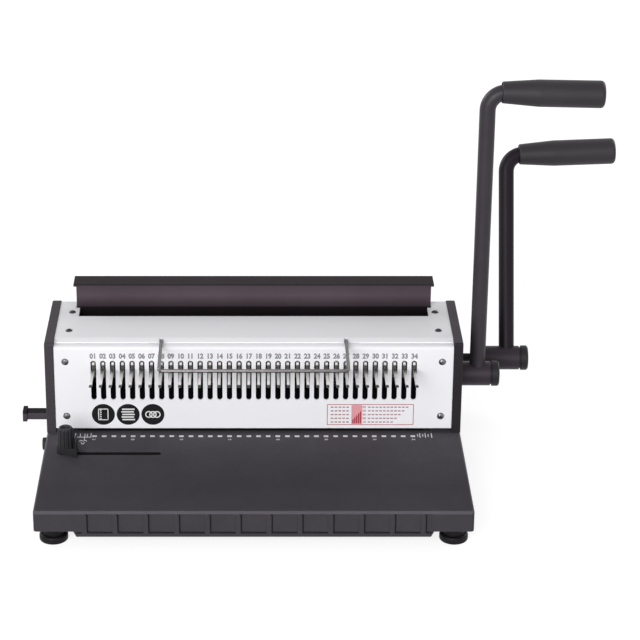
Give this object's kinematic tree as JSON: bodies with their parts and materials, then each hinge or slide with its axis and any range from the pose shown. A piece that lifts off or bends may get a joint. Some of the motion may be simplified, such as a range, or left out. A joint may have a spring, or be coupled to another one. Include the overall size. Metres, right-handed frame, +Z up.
{
  "type": "wire binding machine",
  "caption": "Desk-top binding machine that punches a row of holes and closes twin-loop wire, with two side handles, wire fingers, closing bar and chip tray.",
  "frame": {"origin": "on the table, under the middle of the base", "axes": "+X to the user's right, towards the handles; -Y towards the user; +Z up"},
  "size_m": [0.5366, 0.3221, 0.3456],
  "materials": {
    "black_moulding": "fine matt grain",
    "side_paint": "satin black powder coat",
    "white_paint": "satin white enamel",
    "dark_paint": "satin dark grey-brown enamel",
    "handle_black": "satin black",
    "grip_black": "soft matt",
    "bright_steel": "plated, satin",
    "bail_chrome": "plated wire",
    "screw_zinc": "zinc plated",
    "tool_steel": "ground",
    "frame_steel": "pressed sheet, zinc plated",
    "spring_steel": "drawn wire",
    "bush_bronze": "sintered, oiled",
    "foot_rubber": "matt",
    "knob_black": "fluted moulding"
  },
  "bodies": {
    "chassis": {"deck_base": "black_moulding", "bottom_plate": "frame_steel", "foot_screws": "screw_zinc", "foot_front_left": "foot_rubber", "foot_front_right": "foot_rubber", "foot_rear_left": "foot_rubber", "foot_rear_right": "foot_rubber", "side_cover_left": "side_paint", "side_cover_right": "side_paint", "frame_plate_left": "frame_steel", "frame_plate_right": "frame_steel", "front_panel": "white_paint", "top_cover": "white_paint", "rear_cover": "white_paint", "cover_screws": "screw_zinc", "cover_brackets": "frame_steel", "die_block": "tool_steel", "punch_guide": "tool_steel", "guide_column_left": "bright_steel", "guide_column_right": "bright_steel", "return_spring_left": "spring_steel", "return_spring_right": "spring_steel", "punch_bushes": "bush_bronze", "closing_bushes": "bush_bronze", "rack_guide_left": "frame_steel", "rack_guide_right": "frame_steel", "wire_anvil": "frame_steel", "wire_fingers": "bright_steel", "finger_rail": "frame_steel", "bail_saddles": "knob_black"},
    "punch_handle": {"punch_shaft": "frame_steel", "punch_cam_left": "tool_steel", "punch_cam_right": "tool_steel", "punch_hub": "handle_black", "punch_arm": "handle_black", "punch_grip": "grip_black", "punch_hub_cap": "knob_black"},
    "punch_beam": {"punch_beam": "tool_steel", "pin_retainer": "frame_steel", "punch_pins": "tool_steel"},
    "closing_handle": {"closing_shaft": "frame_steel", "closing_pinion_left": "tool_steel", "closing_pinion_right": "tool_steel", "closing_hub": "handle_black", "closing_arm": "handle_black", "closing_grip": "grip_black", "closing_hub_cap": "knob_black"},
    "closing_bar": {"closing_bar": "dark_paint", "closing_rack_left": "tool_steel", "closing_rack_right": "tool_steel"},
    "wire_bail": {"wire_bail": "bail_chrome"},
    "side_guide": {"side_guide": "knob_black", "guide_clamp": "frame_steel"},
    "guide_knob": {"guide_knob": "knob_black"},
    "margin_knob": {"margin_knob": "knob_black", "margin_spindle": "bright_steel"},
    "back_stop": {"back_stop": "dark_paint"},
    "chip_tray": {"chip_tray": "black_moulding", "tray_pull": "side_paint"}
  },
  "joints": [
    {"name": "punch_turn", "type": "hinge", "parent": "chassis", "child": "punch_handle", "pos_m": [0, 0.047, 0.074], "axis": [1, 0, 0], "range_deg": [0, 80]},
    {"name": "punch_stroke", "type": "slide", "parent": "chassis", "child": "punch_beam", "axis": [0, 0, -1], "range_m": [0, 0.006], "stiffness_N_per_m": 28800, "springref_m": -0.004, "deforming": ["return_spring_left", "return_spring_right"]},
    {"name": "closing_turn", "type": "hinge", "parent": "chassis", "child": "closing_handle", "pos_m": [0, 0.097, 0.067], "axis": [1, 0, 0], "range_deg": [0, 85]},
    {"name": "closing_stroke", "type": "slide", "parent": "chassis", "child": "closing_bar", "axis": [0, 0, -1], "range_m": [0, 0.01336]},
    {"name": "bail_lift", "type": "hinge", "parent": "chassis", "child": "wire_bail", "pos_m": [0, 0.0185, 0.11485], "axis": [-1, 0, 0], "range_deg": [0, 90]},
    {"name": "guide_slide", "type": "slide", "parent": "chassis", "child": "side_guide", "axis": [1, 0, 0], "range_m": [0, 0.075]},
    {"name": "guide_clamping", "type": "hinge", "parent": "side_guide", "child": "guide_knob", "pos_m": [-0.162, -0.0325, 0.05], "axis": [0, 0, 1], "range_deg": [0, 270]},
    {"name": "margin_turn", "type": "hinge", "parent": "chassis", "child": "margin_knob", "pos_m": [-0.182, 0.005, 0.025], "axis": [1, 0, 0], "range_deg": [-30, 30]},
    {"name": "margin_shift", "type": "slide", "parent": "chassis", "child": "back_stop", "axis": [0, -1, 0], "range_m": [-0.0015, 0.0015]},
    {"name": "tray_slide", "type": "slide", "parent": "chassis", "child": "chip_tray", "axis": [-1, 0, 0], "range_m": [0, 0.3]}
  ],
  "couplings": [
    {"joint": "punch_stroke", "follows": "punch_turn", "m_per_rad": 0.004297},
    {"joint": "closing_stroke", "follows": "closing_turn", "m_per_rad": 0.009},
    {"joint": "margin_turn", "follows": "margin_shift", "rad_per_m": 349}
  ]
}
